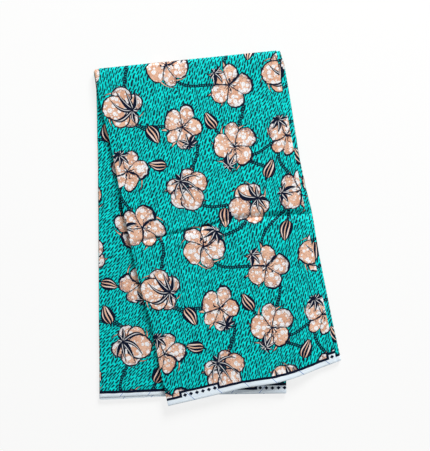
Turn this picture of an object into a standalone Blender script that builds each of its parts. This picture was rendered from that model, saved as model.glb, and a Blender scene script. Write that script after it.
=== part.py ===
"""A six yard length of wax print cotton, folded for the shelf and lying flat.

The length is folded like an accordion into a stack of plies as wide as the bundle and as long as
the cloth is wide. The stack is then folded in half across its middle, a little out of square, so
the front half lies turned over the back half and every selvedge is at the bottom. The outermost
plies are walls of their own, and the hidden plies share one solid with layered edges.

A point of the unfolded stack has three coordinates: u runs across it from its left edge, v runs up
it from the back selvedge, over the fold and down to the front selvedge, and w is its distance from
the plane between the two halves. The function lay() puts such a point in its place in the bundle.
"""

import math
from collections import namedtuple

import bmesh
import bpy

# Driving dimensions, in metres.
CLOTH_WIDTH = 1.168  # from selvedge to selvedge, 46 inches
BUNDLE_WIDTH = 0.332  # across the accordion folds
PLIES = 16  # in each half
PLY = 0.0005  # one thickness of the cloth
AIR = 0.00025  # trapped between the plies of one half
FOLD_TILT = math.radians(5.8)  # of the top fold against square
BACK_LEFT = 0.5725  # from the back selvedge's line to the fold's axis, at the left
GAP = 0.0003  # between neighbouring solids
WALL = 0.001  # a ply with the one that it turns back into

# The crease from an earlier folding, a valley across the front half.
CREASE_AT = 0.2865  # from the fold's axis
CREASE_DEPTH = 0.0036
CREASE_ABOVE = 0.016  # how far it reaches towards the fold
CREASE_BELOW = 0.012
CREASE_SWAY_REACH = 0.15  # the cloth on both sides that follows its wavy line

# The front half sinks to the ground where it reaches past the back half.
DROOP_START = 0.024  # past the back half's right side
DROOP_LENGTH = 0.044

HALF_STACK = PLIES * PLY + AIR
BEND = math.pi * HALF_STACK / 2
SIN = math.sin(FOLD_TILT)
COS = math.cos(FOLD_TILT)
MM = 0.001

# The crease's line and depth across the bundle: share of the width, sway in mm, share of the depth.
Crease = namedtuple("Crease", "share sway depth")
CREASE_LINE = (
    Crease(0.00, 19.0, 0.15),
    Crease(0.07, 16.0, 0.45),
    Crease(0.28, 7.0, 0.80),
    Crease(0.45, 0.0, 1.00),
    Crease(0.55, -6.5, 1.00),
    Crease(0.75, -4.0, 1.00),
    Crease(0.95, -2.0, 0.80),
    Crease(1.00, -2.0, 0.70),
)

# How far the selvedges run out of square: share of the width, how far the back selvedge stays in and
# how far the front selvedge stands out, in mm.
Selvedge = namedtuple("Selvedge", "share back front")
SELVEDGES = (
    Selvedge(0.00, 3.2, 14.0),
    Selvedge(0.15, 5.0, 12.7),
    Selvedge(0.25, 6.6, 11.8),
    Selvedge(0.42, 9.0, 9.4),
    Selvedge(0.60, 10.5, 12.4),
    Selvedge(0.70, 10.7, 10.4),
    Selvedge(1.00, 11.2, -4.5),
)

# The left side of the whole bundle. path is -1 at the back selvedge, 0 at the fold and 1 at the
# front selvedge, and out is how far the side stands out, in mm.
LeftSide = namedtuple("LeftSide", "path out")
LEFT_SIDE = (
    LeftSide(-1.00, -6.2),
    LeftSide(-0.70, -4.8),
    LeftSide(-0.27, -4.0),
    LeftSide(-0.08, -1.5),
    LeftSide(0.00, 0.0),
    LeftSide(0.03, 4.4),
    LeftSide(0.10, 4.1),
    LeftSide(0.20, 1.0),
    LeftSide(0.30, 0.8),
    LeftSide(0.42, 3.0),
    LeftSide(0.59, 0.8),
    LeftSide(0.68, -1.2),
    LeftSide(0.76, -5.6),
    LeftSide(0.84, -5.8),
    LeftSide(0.92, -4.4),
    LeftSide(1.00, -5.7),
)

# Where each ply's sides run: out is how far it stands out past the bundle's left side and cut how
# far its right side stays in, in mm.
Side = namedtuple("Side", "path out cut")
OUTER_SIDES = (
    Side(-1.00, -2.0, 2.0),
    Side(-0.50, -1.0, 5.0),
    Side(-0.10, -0.5, 9.0),
    Side(0.00, -2.0, 17.0),
    Side(0.03, 0.0, 18.0),
    Side(0.10, 0.0, 19.3),
    Side(0.36, 0.0, 21.5),
    Side(0.60, 0.3, 23.9),
    Side(0.84, 0.0, 22.8),
    Side(1.00, 0.0, 21.6),
)
SECOND_SIDES = (
    Side(-1.00, -1.0, 0.5),
    Side(-0.50, 0.5, 3.2),
    Side(-0.08, 1.0, 5.8),
    Side(0.00, 1.5, 14.0),
    Side(0.012, 1.0, 9.4),
    Side(0.03, -0.6, 7.6),
    Side(0.12, -0.8, 9.3),
    Side(0.23, -0.5, 12.2),
    Side(0.345, -0.5, 15.0),
    Side(0.45, -0.4, 14.2),
    Side(0.53, -0.5, 11.9),
    Side(0.65, -0.6, 14.3),
    Side(0.88, -1.0, 15.0),
    Side(1.00, -1.5, 15.2),
)
THIRD_SIDES = (
    Side(-1.00, 0.5, -0.8),
    Side(-0.50, 0.0, 2.4),
    Side(-0.05, 0.8, 5.4),
    Side(0.00, 3.4, 13.4),
    Side(0.012, 2.6, 8.9),
    Side(0.03, -1.0, 7.1),
    Side(0.12, -1.0, 8.9),
    Side(0.23, -1.0, 11.8),
    Side(0.345, -1.0, 14.7),
    Side(0.45, -1.0, 13.8),
    Side(0.53, -0.8, 11.5),
    Side(0.65, -0.8, 13.9),
    Side(0.88, -1.0, 14.6),
    Side(1.00, -1.2, 14.0),
)
INNER_SIDES = (
    Side(-1.00, 0.0, -1.5),
    Side(-0.50, 0.5, 2.2),
    Side(-0.08, 1.0, 5.0),
    Side(-0.03, 1.2, 6.6),
    Side(0.00, 4.8, 13.0),
    Side(0.012, 3.4, 8.5),
    Side(0.03, -0.8, 6.7),
    Side(0.12, -1.2, 8.5),
    Side(0.23, -1.4, 11.4),
    Side(0.345, -1.2, 14.2),
    Side(0.45, -1.0, 13.4),
    Side(0.53, -1.0, 11.1),
    Side(0.65, -0.8, 13.5),
    Side(0.88, -1.2, 14.2),
    Side(1.00, -1.5, 13.0),
)
BACK_SIDES = (
    Side(-1.00, -0.4, -1.9),
    Side(-0.50, -0.2, 2.0),
    Side(0.00, 0.5, 6.0),
)

# Folded edges of one solid, from the middle plane out: how far each stands out past the sides
# above at the left, the right, the back selvedge and the front selvedge, in mm. At the back
# selvedge the edges fan out from the right side.
Lip = namedtuple("Lip", "left right back front")
FLUSH = (Lip(0.0, 0.0, 0.0, 0.0),)
SECOND_LIPS = (Lip(0.0, 0.0, 2.0, 0.5),)
THIRD_LIPS = (Lip(0.0, 0.0, 3.5, -1.0),)
INNER_LIPS = (
    Lip(-1.2, -0.8, 4.6, -1.8),
    Lip(0.0, 0.0, 3.0, -0.4),
    Lip(-1.6, -1.4, 4.2, -2.6),
    Lip(-0.4, -0.5, 2.4, 0.2),
)

BACK_FAN_RIGHT = 0.2  # share of the fan that is left at the right side

# A lip's section: share of its thickness, share of its roundness.
ROUND = ((0.0, 0.0), (0.25, 0.87), (0.75, 0.87))

# Lines across the stack where the solids have edges. Every solid has the same ones, so that
# neighbours stay parallel. A row's place is a share of its half or of the bend, or it is measured
# from the crease in metres.
COLUMNS = (0.03, 0.085, 0.14, 0.185, 0.205, 0.225, 0.245, 0.265, 0.283, 0.3)
Row = namedtuple("Row", "zone place")
BACK_ROWS = tuple(Row("back", place) for place in (0.0, 0.03, 0.25, 0.5, 0.75, 0.92, 0.97))
BEND_ROWS = tuple(Row("bend", step / 6) for step in range(7))
UPPER_ROWS = tuple(
    Row("front", place) for place in (0.012, 0.03, 0.1, 0.17, 0.24, 0.3, 0.35, 0.4, 0.445)
)
CREASE_ROWS = tuple(
    Row("crease", place)
    for place in (-0.016, -0.0105, -0.006, -0.0025, 0.0, 0.002, 0.005, 0.0085, 0.012)
)
LOWER_ROWS = tuple(Row("front", place) for place in (0.59, 0.68, 0.76, 0.84, 0.92, 0.975, 1.0))
FRONT_ROWS = UPPER_ROWS + CREASE_ROWS + LOWER_ROWS
BACK_SEAM = Row("back", 1 - GAP / BACK_LEFT)
FRONT_SEAM = Row("front", GAP / BACK_LEFT)

PRINT_TEAL = (0.02, 0.52, 0.48)
SHADED_TEAL = (0.015, 0.36, 0.35)
NAVY = (0.015, 0.03, 0.07)


def read(table, at, column):
    """The value of a column where the table's first column has passed `at`."""
    if at <= table[0][0]:
        return getattr(table[0], column)
    for low, high in zip(table, table[1:]):
        if at <= high[0]:
            share = (at - low[0]) / (high[0] - low[0])
            return getattr(low, column) * (1 - share) + getattr(high, column) * share
    return getattr(table[-1], column)


def soft_step(share):
    share = min(max(share, 0.0), 1.0)
    return share * share * (3 - 2 * share)


def fold_start(u):
    """v where the back half ends and the bend of the fold starts."""
    return BACK_LEFT + u * math.tan(FOLD_TILT)


def front_start(u):
    return fold_start(u) + BEND / COS


def back_start(u):
    return read(SELVEDGES, u / BUNDLE_WIDTH, "back") * MM


def front_end(u):
    return CLOTH_WIDTH + read(SELVEDGES, u / BUNDLE_WIDTH, "front") * MM


def crease_line(u):
    """How far from the fold's axis the crease runs."""
    return CREASE_AT + read(CREASE_LINE, u / BUNDLE_WIDTH, "sway") * MM


def crease_sink(u, run):
    """How far the crease lowers the bundle's upper face, `run` from the fold's axis."""
    away = run - crease_line(u)
    reach = CREASE_BELOW if away > 0 else CREASE_ABOVE
    depth = CREASE_DEPTH * read(CREASE_LINE, u / BUNDLE_WIDTH, "depth")
    return depth * (1 - min(abs(away) / reach, 1.0)) ** 2


def fold_frame(u, v):
    """A point's place along the fold's axis and how far it is past the start of the bend."""
    along = u * COS + (v - BACK_LEFT) * SIN
    past = (v - BACK_LEFT) * COS - u * SIN
    return along, past


def front_droop(u, v):
    """How far the front half sinks at a column of the stack."""
    along, past = fold_frame(u, v)
    x = along * COS + (past - BEND) * SIN
    return HALF_STACK * soft_step((x - BUNDLE_WIDTH - DROOP_START) / DROOP_LENGTH)


def droop(u, v):
    """How far the front half sinks, straight from the last column to the sides of all the plies."""
    last = COLUMNS[-1]
    if u <= last:
        return front_droop(u, v)
    share = (u - last) / (BUNDLE_WIDTH - last)
    return front_droop(last, v) * (1 - share) + front_droop(BUNDLE_WIDTH, v) * share


def lay(u, v, w):
    """The place in the bundle of a point of the unfolded stack."""
    along, past = fold_frame(u, v)
    if past <= 0:
        out = past
        z = HALF_STACK - w
    elif past < BEND:
        turn = math.pi * (past / BEND - 0.5)
        out = w * math.cos(turn)
        z = HALF_STACK + w * math.sin(turn)
    else:
        out = BEND - past
        z = HALF_STACK + w
    x = along * COS - out * SIN
    y = along * SIN + out * COS
    if past >= BEND:
        z -= droop(u, v) + crease_sink(u, (past - BEND) / COS) * w / HALF_STACK
    return x, y, z


def row_v(row, u):
    start = front_start(u)
    if row.zone == "back":
        return back_start(u) * (1 - row.place) + fold_start(u) * row.place
    if row.zone == "bend":
        return fold_start(u) + row.place * BEND / COS
    if row.zone == "crease":
        return start + crease_line(u) + row.place
    run = row.place * (front_end(u) - start)
    near = max(0.0, 1 - abs(run - CREASE_AT) / CREASE_SWAY_REACH)
    return start + run + (crease_line(u) - CREASE_AT) * near


def row_path(row):
    if row.zone == "back":
        return row.place - 1
    if row.zone == "bend":
        return 0.0
    if row.zone == "crease":
        return (CREASE_AT + row.place) / (CLOTH_WIDTH - BACK_LEFT)
    return row.place


def cut_box(counts):
    """A box of unit cells, made from a cube cut by planes.

    Every cell is split along the same diagonal, so that bent neighbours stay parallel. It runs
    towards the left side on the way up the stack, as the line does where the front half droops.
    """
    box = bmesh.new()
    bmesh.ops.create_cube(box, size=1.0)
    for vertex in box.verts:
        for axis, count in enumerate(counts):
            vertex.co[axis] = (vertex.co[axis] + 0.5) * count
    for axis, count in enumerate(counts):
        normal = [0.0, 0.0, 0.0]
        normal[axis] = 1.0
        for cut in range(1, count):
            bmesh.ops.bisect_plane(
                box,
                geom=box.verts[:] + box.edges[:] + box.faces[:],
                plane_co=[cut * share for share in normal],
                plane_no=normal,
            )
    for face in list(box.faces):
        corners = sorted(face.verts, key=lambda vertex: vertex.co.x - vertex.co.y + vertex.co.z)
        bmesh.utils.face_split(face, corners[0], corners[-1])
    return box


def lip_levels(lips):
    """For each level of a solid: its share of the thickness, its lip and its roundness."""
    levels = []
    for index, lip in enumerate(lips):
        for share, roundness in ROUND:
            levels.append(((index + share) / len(lips), lip, roundness))
    levels.append((1.0, lips[-1], 0.0))
    return levels


def layered_solid(name, rows, sides, lips, heights, material):
    """One solid of the bundle: a cut box whose points are laid in their places.

    heights(row) gives w at the inner and the outer face. Lips round the sides and, where a row is
    a selvedge, the ends.
    """
    levels = lip_levels(lips)
    last_column = len(COLUMNS) + 1
    last_row = len(rows) - 1
    box = cut_box((last_column, last_row, len(levels) - 1))
    for vertex in box.verts:
        column, line, level = (round(value) for value in vertex.co)
        row = rows[line]
        share, lip, roundness = levels[level]
        low, high = heights(row)
        bulge = roundness * (high - low) / len(lips) / 2
        path = row_path(row)
        if column == 0:
            out = read(LEFT_SIDE, path, "out") + read(sides, path, "out") + lip.left
            u = -out * MM - bulge
        elif column == last_column:
            cut = read(sides, path, "cut") - lip.right
            u = BUNDLE_WIDTH - cut * MM + bulge
        else:
            u = COLUMNS[column - 1]
        v = row_v(row, u)
        if row == BACK_ROWS[0]:
            fan = 1 - (1 - BACK_FAN_RIGHT) * min(max(u / BUNDLE_WIDTH, 0.0), 1.0)
            v -= lip.back * MM * fan + bulge
        if row == FRONT_ROWS[-1]:
            v += lip.front * MM + bulge
        vertex.co = lay(u, v, low + (high - low) * share)
    if box.calc_volume(signed=True) < 0:
        bmesh.ops.reverse_faces(box, faces=box.faces)
    mesh = bpy.data.meshes.new(name)
    box.to_mesh(mesh)
    box.free()
    mesh.materials.append(material)
    mesh.shade_smooth()
    mesh.set_sharp_from_angle(angle=math.radians(50))
    solid = bpy.data.objects.new(name, mesh)
    bundle_collection().objects.link(solid)
    return solid


def bundle_collection():
    found = bpy.data.collections.get("folded_wax_print")
    if found is None:
        found = bpy.data.collections.new("folded_wax_print")
        bpy.context.scene.collection.children.link(found)
    return found


def cotton(name, colour):
    material = bpy.data.materials.new(name)
    material.use_nodes = True
    shader = material.node_tree.nodes["Principled BSDF"]
    shader.inputs["Base Color"].default_value = (*colour, 1.0)
    shader.inputs["Roughness"].default_value = 0.8
    shader.inputs["Metallic"].default_value = 0.0
    return material


def wall(depth):
    """Heights of a wall with `depth` walls outside it."""
    outer = HALF_STACK - depth * (WALL + GAP)
    return lambda row: (outer - WALL, outer)


def hidden_plies(row):
    """Heights of the shared solid, which leaves room for the back ply on the back half."""
    outer = HALF_STACK - 3 * (WALL + GAP)
    front_inner = GAP / 2
    back_inner = front_inner + WALL + GAP
    if row.zone == "back":
        return back_inner, outer
    if row.zone == "bend":
        return back_inner + (front_inner - back_inner) * row.place, outer
    return front_inner, outer


def back_ply_heights(row):
    return GAP / 2, GAP / 2 + WALL


def centre_on_ground():
    """Moves the bundle so that the middle of its footprint is at the origin."""
    solids = list(bundle_collection().objects)
    corners = [vertex.co for solid in solids for vertex in solid.data.vertices]
    middle = [
        (min(corner[axis] for corner in corners) + max(corner[axis] for corner in corners)) / 2
        for axis in range(2)
    ]
    for solid in solids:
        for vertex in solid.data.vertices:
            vertex.co.x -= middle[0]
            vertex.co.y -= middle[1]


def main():
    for old in list(bpy.data.objects):
        bpy.data.objects.remove(old, do_unlink=True)
    whole = BACK_ROWS + BEND_ROWS + FRONT_ROWS
    front = cotton("front_print", PRINT_TEAL)
    layered_solid("front_ply", (FRONT_SEAM, *FRONT_ROWS), OUTER_SIDES, FLUSH, wall(0), front)
    layered_solid("fold_ply", BEND_ROWS, OUTER_SIDES, FLUSH, wall(0), cotton("fold_print", PRINT_TEAL))
    layered_solid(
        "under_ply",
        (*BACK_ROWS, BACK_SEAM),
        OUTER_SIDES,
        FLUSH,
        wall(0),
        cotton("under_print", PRINT_TEAL),
    )
    layered_solid(
        "second_ply", whole, SECOND_SIDES, SECOND_LIPS, wall(1), cotton("second_print", PRINT_TEAL)
    )
    layered_solid(
        "third_ply", whole, THIRD_SIDES, THIRD_LIPS, wall(2), cotton("third_print", PRINT_TEAL)
    )
    layered_solid(
        "hidden_plies",
        whole,
        INNER_SIDES,
        INNER_LIPS,
        hidden_plies,
        cotton("hidden_print", NAVY),
    )
    layered_solid(
        "back_ply",
        (*BACK_ROWS, BACK_SEAM),
        BACK_SIDES,
        FLUSH,
        back_ply_heights,
        cotton("back_print", SHADED_TEAL),
    )
    centre_on_ground()


main()
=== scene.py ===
"""Dresses the folded length of wax print cotton: its plies, its print and its selvedges.

Shader nodes draw the print from three maps that each ply carries: its place in the unfolded cloth,
in the nearest flower of a repeat that is charted in tables, and along the nearest stem. A point of
the unfolded stack has u across it, v from the back selvedge over the fold to the front selvedge, and
w from the plane between the two halves out, and lay() puts it in its place in the frame's solids.
"""

import math
from collections import namedtuple
from functools import partial

import bpy
import numpy as np
from mathutils import Color, Euler, Matrix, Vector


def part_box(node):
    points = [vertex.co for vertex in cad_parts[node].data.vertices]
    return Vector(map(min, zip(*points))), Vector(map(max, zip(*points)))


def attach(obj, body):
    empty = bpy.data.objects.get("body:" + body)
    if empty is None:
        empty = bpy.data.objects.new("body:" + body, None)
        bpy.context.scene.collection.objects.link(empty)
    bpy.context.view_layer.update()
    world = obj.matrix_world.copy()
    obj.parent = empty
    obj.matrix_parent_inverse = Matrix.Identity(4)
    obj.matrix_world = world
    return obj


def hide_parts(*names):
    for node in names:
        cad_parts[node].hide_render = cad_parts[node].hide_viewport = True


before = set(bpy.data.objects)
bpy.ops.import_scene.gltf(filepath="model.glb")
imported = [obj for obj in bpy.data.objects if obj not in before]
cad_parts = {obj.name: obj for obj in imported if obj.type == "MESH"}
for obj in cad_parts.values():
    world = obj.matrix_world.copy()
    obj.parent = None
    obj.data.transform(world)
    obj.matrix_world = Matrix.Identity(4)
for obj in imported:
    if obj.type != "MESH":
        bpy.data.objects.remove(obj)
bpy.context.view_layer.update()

bl_info = {
    "name": "Folded wax print cotton",
    "version": (1, 0, 0),
    "blender": (4, 5, 0),
    "location": "View3D > Sidebar > Wax print",
    "description": "Makes a folded length of wax print cotton",
    "category": "Object",
}

MM = 0.001
METRE = 1000.0  # in mm
TURN = 2 * math.pi

# The folded cloth, in metres, as the frame's solids have it.
CLOTH_WIDTH = 1.168
BUNDLE_WIDTH = 0.332
FOLD_TILT = math.radians(5.8)
BACK_LEFT = 0.5725
HALF_STACK = 0.00825
WALL = 0.001
WALL_GAP = 0.0003
CREASE_AT = 0.2865
DROOP_START = 0.024
DROOP_LENGTH = 0.044
BEND = math.pi * HALF_STACK / 2
SIN = math.sin(FOLD_TILT)
COS = math.cos(FOLD_TILT)

# How far the back ply's solid stands out past u = 0 and how far it stays in from v = 0.
BACK_PLY_REACH = (0.00094, -0.00299)

# Where the front half swells, from the fold's axis, and over what length.
PUFF_AT = 0.018
PUFF_LENGTH = 0.026

# Where the front selvedge lifts, how far to each side, and how far up the cloth.
LIFT_AT = 0.2
LIFT_HALF = 0.062
LIFT_REACH = 0.045

# The rows of faces round the fold and close beside the crease.
BEND_ROWS = 10
CREASE_GRID = 0.0014
CREASE_ABOVE = 0.018
CREASE_BELOW = 0.014


def table(columns, *rows):
    """Rows of given measures, whose columns have names."""
    row = namedtuple("Row", columns)
    return [row(*values) for values in rows]


# The crease across the front half: share of the width, then in mm how far its line sways, how deep
# it is, and how far the cloth slopes above and below it.
CREASE_LINE = table(
    "share sway depth above below",
    (0, 19, 1.2, 5, 9), (0.07, 16, 3.4, 5, 9), (0.28, 7, 4, 5.5, 11), (0.45, 0, 3.8, 6, 12),
    (0.55, -6.5, 4.2, 8.5, 11), (0.75, -4, 6.4, 11.5, 10.5), (0.95, -2, 6.4, 11.5, 10.5),
    (1, -2, 5.6, 11.5, 10.5),
)

# How far the selvedges run out of square: share of the width, how far the back selvedge stays in and
# how far the front selvedge stands out, in mm.
SELVEDGES = table(
    "share back front",
    (0, 3.2, 14), (0.15, 5, 12.7), (0.25, 6.6, 11.8), (0.42, 9, 9.4), (0.6, 10.5, 12.4),
    (0.7, 10.7, 10.4), (1, 11.2, -4.5),
)

# The left side of the whole bundle. path is -1 at the back selvedge, 0 at the fold and 1 at the
# front selvedge, and out is how far the side stands out, in mm.
LEFT_SIDE = table(
    "path out",
    (-1, -6.2), (-0.7, -4.8), (-0.27, -4), (-0.08, -1.5), (0, 0), (0.03, 4.4), (0.1, 4.1), (0.2, 1),
    (0.3, 0.8), (0.42, 3), (0.59, 0.8), (0.68, -1.2), (0.76, -5.6), (0.84, -5.8), (0.92, -4.4),
    (1, -5.7),
)

# Where each ply's sides run: how far it stands out past the bundle's left side, and how far its
# right side is cut back, in mm.
side_table = partial(table, "path out cut")
OUTER_SIDES = side_table(
    (-1, -2, 2), (-0.5, -1, 5), (-0.1, -0.5, 9), (0, -6.5, 17), (0.022, -6, 17.8), (0.04, -0.5, 18.3),
    (0.1, 0, 19.3), (0.36, 0, 21.5), (0.6, 0.3, 23.9), (0.84, 0, 22.8), (1, 0, 21.6),
)
SECOND_SIDES = side_table(
    (-1, -1, 0.5), (-0.5, 0.5, 3.2), (-0.08, 1, 5.8), (0, 1.5, 12), (0.012, 1, 8.6), (0.03, -0.6, 7.6),
    (0.12, -0.8, 9.3), (0.23, -0.5, 12.2), (0.345, -0.5, 15), (0.45, -0.4, 14.2), (0.53, -0.5, 11.9),
    (0.65, -0.6, 14.3), (0.88, -1, 15), (1, -1.5, 15.2),
)
THIRD_SIDES = side_table(
    (-1, 0.5, -0.8), (-0.5, 0, 2.4), (-0.05, 0.8, 5.4), (0, 3.4, 11.4), (0.012, 2.6, 8.1),
    (0.03, -1, 7.1), (0.12, -1, 8.9), (0.23, -1, 11.8), (0.345, -1, 14.7), (0.45, -1, 13.8),
    (0.53, -0.8, 11.5), (0.65, -0.8, 13.9), (0.88, -1, 14.6), (1, -1.2, 14),
)
INNER_SIDES = side_table(
    (-1, 0, -1.5), (-0.5, 0.5, 2.2), (-0.08, 1, 5), (-0.03, 1.2, 6.6), (0, 4.8, 11), (0.012, 3.4, 7.7),
    (0.03, -0.8, 6.7), (0.12, -1.2, 8.5), (0.23, -1.4, 11.4), (0.345, -1.2, 14.2), (0.45, -1, 13.4),
    (0.53, -1, 11.1), (0.65, -0.8, 13.5), (0.88, -1.2, 14.2), (1, -1.5, 13),
)
BACK_SIDES = side_table((-1, -0.4, -1.9), (-0.5, -0.2, 2), (0, 0.5, 6))

# How far each hidden ply stands out at the left, the right and the two selvedges, in mm, from the
# middle plane out. Plies turn back into each other in pairs at the sides.
HIDDEN_LIPS = (
    (-1.2, -0.8, 4.6, -1.8), (-1.2, -0.8, 3.9, -2.3), (-0.1, 0, 3.1, -0.6), (-0.1, 0, 2.6, -1.3),
    (-1.6, -1.4, 4.2, -2.7), (-1.6, -1.4, 3.3, -1.9), (-0.4, -0.5, 2.4, 0.2), (-0.4, -0.5, 3, -0.8),
)
BACK_FAN_RIGHT = 0.2  # share of the fan of hidden selvedges that is left at the right side

# Soft troughs and ridges in the cloth, in mm: where the middle lies across the bundle and along it
# from the fold, how long and wide each is, how high it stands, and its turn in degrees.
FRONT_RIPPLES = (
    (70, 352, 150, 26, -0.9, 12), (120, 318, 120, 20, 0.6, 6), (95, 420, 170, 30, -0.8, -8),
    (60, 470, 90, 18, 0.7, 20), (220, 385, 190, 34, -0.7, 10), (250, 330, 110, 22, 0.6, 4),
    (265, 470, 140, 28, -0.8, -14), (180, 520, 160, 22, 0.8, 4), (150, 210, 200, 40, 0.6, 3),
    (60, 140, 120, 34, -0.6, -10), (240, 150, 180, 44, -0.7, 14), (120, 70, 210, 26, 0.7, 5),
    (270, 60, 90, 22, -0.5, 30), (30, 245, 100, 16, -0.6, -24),
)
BACK_RIPPLES = (
    (60, 281, 190, 11, -0.7, 2), (45, 120, 110, 24, -0.35, 18), (30, 400, 120, 26, -0.4, -12),
    (80, 490, 170, 20, -0.45, 7), (180, 545, 200, 16, -0.4, -3),
)

# One repeat of the print, in mm, 285 across and 320 along. Each motif has its middle across and
# along, its kind, its radius and its turn in degrees.
CHART = np.array((285.0, 320.0))
SHIFTS = [CHART * (across, along) for across in (-1, 0, 1) for along in (-1, 0, 1)]
OPEN, SIDE, BUD = 1, 2, 3
MOTIFS = (
    (44, 38, OPEN, 41, 10), (52, 150, SIDE, 40, 200), (38, 258, OPEN, 38, 75), (142, 92, OPEN, 42, 140),
    (148, 203, OPEN, 39, 260), (134, 310, SIDE, 40, 60), (236, 34, SIDE, 39, 160),
    (243, 146, OPEN, 41, 50), (231, 252, OPEN, 42, 300), (96, 205, BUD, 17, 70),
    (198, 200, BUD, 16, 250), (4, 97, BUD, 17, 110), (283, 305, BUD, 16, 300), (92, 258, BUD, 15, 200),
    (190, 50, BUD, 17, 100),
)

# The stems of the repeat, in mm: where each starts and ends, across and along, and how far it
# bulges sideways in its middle.
STEMS = (
    (44, 38, 52, 150, -22), (52, 150, 148, 203, 17), (148, 203, 134, 310, -20), (134, 310, 236, 354, 18),
    (236, 34, 142, 92, -16), (142, 92, 243, 146, 20), (243, 146, 231, 252, -18),
    (231, 252, 323, 258, 16), (38, 258, 44, 358, 19), (243, 146, 329, 38, -24), (52, 150, 96, 205, 8),
    (231, 252, 198, 200, -6), (44, 38, 4, 97, 8), (231, 252, 283, 305, 7), (38, 258, 92, 258, -8),
    (142, 92, 190, 50, 6),
)
STEM_REACH = 8.0  # how far from a stem its map is kept
STEM_PIECES = 24  # straight pieces of each stem's curve
FAR = 9.0  # a place in radii that is outside every motif
FAR_ASIDE = 100.0  # a place in mm that is outside every stem
FACES_AT_ONCE = 3000
BEAD_PITCH = 4.2

# The round petals of a flower seen from the side, from the farthest to the nearest, in radii: the
# middle along and across the flower, and the radius.
SIDE_PETALS = (
    (-0.5, 0.36, 0.36), (-0.48, -0.38, 0.34), (0.06, 0.5, 0.43), (0.1, -0.5, 0.42), (0.38, 0.02, 0.52),
)

# The printed margin along each selvedge, in mm: its width, the line above it, and where its boxes
# start and how far apart they are.
BACK_MARGIN = (5.8, 5.0, 168.0, 400.0)
FRONT_MARGIN = (8.2, 4.4, 53.0, 266.0)
BOX_LENGTH = 64.0
BOX_HEIGHT = 7.6
BOX_LEAD = 10.0  # room kept before a box for its border
LOZENGE_PITCH = 10.7
LOZENGE_MIDDLE = 3.2
LOZENGE_HALF_LENGTH = 3.9
LOZENGE_HALF_HEIGHT = 3.4
TICK_PITCH = 49.0
THREAD_PITCH = 0.62

MAPS = ("cloth", "motif", "stem")  # what the print is drawn from

# The floor's width, how far it lies under the cloth, where the camera stands and how far it sees,
# in metres.
FLOOR_SIZE = 60.0
FLOOR_DROP = 0.0003
EYE = (-0.0042, 0.0044)
SIGHT = 10.0


def a_colour(name, description, *colour):
    """A colour whose default is given in sRGB, from 0 to 255."""
    default = tuple(Color([level / 255 for level in colour]).from_srgb_to_scene_linear())
    return bpy.props.FloatVectorProperty(
        name=name, description=description, default=default, subtype="COLOR", min=0.0, max=1.0
    )


def a_number(name, description, default, **kind):
    return bpy.props.FloatProperty(name=name, description=description, default=default, **kind)


def a_length(name, description, default):
    return a_number(name, description, default, min=0.0, precision=5, unit="LENGTH")


class ClothSettings(bpy.types.PropertyGroup):
    thickness: a_length("Thickness", "One thickness of the cotton", 0.00045)
    grid: a_length("Grid", "Spacing of the plies' faces where they show", 0.0034)
    puff: a_length("Puff", "How far the front half swells beside the fold", 0.0012)
    edge_lift: a_length("Edge lift", "How far the front selvedge lifts off the back half", 0.003)
    ripple: a_number("Ripple", "Strength of the soft troughs and ridges", 1.0, subtype="FACTOR", min=0)


class PrintSettings(bpy.types.PropertyGroup):
    ground: a_colour("Ground", "Turquoise of the ground", 0, 228, 222)
    ground_deep: a_colour("Deep ground", "Turquoise where the dye is stronger", 0, 192, 189)
    ink: a_colour("Ink", "Navy of the strokes and outlines", 2, 15, 41)
    petal: a_colour("Petal", "Peach of the petals", 236, 190, 162)
    petal_deep: a_colour("Deep petal", "Peach where the dye is stronger", 224, 172, 142)
    bubble: a_colour("Bubble", "White where wax kept the dye out", 250, 248, 248)
    speckle: a_colour("Speckle", "Grey in the petals' shade", 100, 88, 104)
    margin: a_colour("Margin", "Undyed selvedge", 238, 249, 255)
    thread: a_colour("Selvedge thread", "Blue grey threads in the selvedge", 192, 208, 236)
    tick: a_colour("Tick", "Blue marks in the selvedge", 76, 118, 186)
    stroke_length: a_length("Stroke length", "Length of a stroke of the ground", 0.0112)
    stroke_width: a_length("Stroke width", "Width of a stroke of the ground", 0.0023)


INKS = [name for name in PrintSettings.__annotations__ if not name.startswith("stroke")]


class StageSettings(bpy.types.PropertyGroup):
    camera_height: a_length("Camera height", "Height of the camera over the floor", 2.2)
    frame_width: a_length("Frame width", "Width of floor that the picture shows", 0.7585)
    key_height: a_number("Key height", "Height of the soft light", math.radians(34), subtype="ANGLE")
    key_turn: a_number("Key turn", "Turn of the soft light to the right", math.radians(20), subtype="ANGLE")
    key_distance: a_length("Key distance", "From the cloth to the soft light", 4.5)
    key_size: a_length("Key size", "Width of the soft light", 2.0)
    key_share: a_number(
        "Key share", "Soft light's share of the light on level cloth", 0.64, subtype="FACTOR", min=0, max=1
    )


def read(rows, at, column):
    """A table's column, read between its rows at places given in its first column."""
    return np.interp(at, [row[0] for row in rows], [getattr(row, column) for row in rows])


def read_across(rows, u, column):
    """A column in metres of a table whose first column is a share of the bundle's width."""
    return read(rows, u / BUNDLE_WIDTH, column) * MM


def soft_step(share):
    share = np.clip(share, 0.0, 1.0)
    return share * share * (3 - 2 * share)


def fold_start(u):
    """v where the back half ends and the bend of the fold starts."""
    return BACK_LEFT + u * math.tan(FOLD_TILT)


def past_fold(u, v):
    """How far past the start of the bend a point lies, square to the fold."""
    return (v - BACK_LEFT) * COS - u * SIN


def back_start(u):
    return read_across(SELVEDGES, u, "back")


def front_end(u):
    return CLOTH_WIDTH + read_across(SELVEDGES, u, "front")


def front_length(u):
    return front_end(u) - fold_start(u) - BEND / COS


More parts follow.
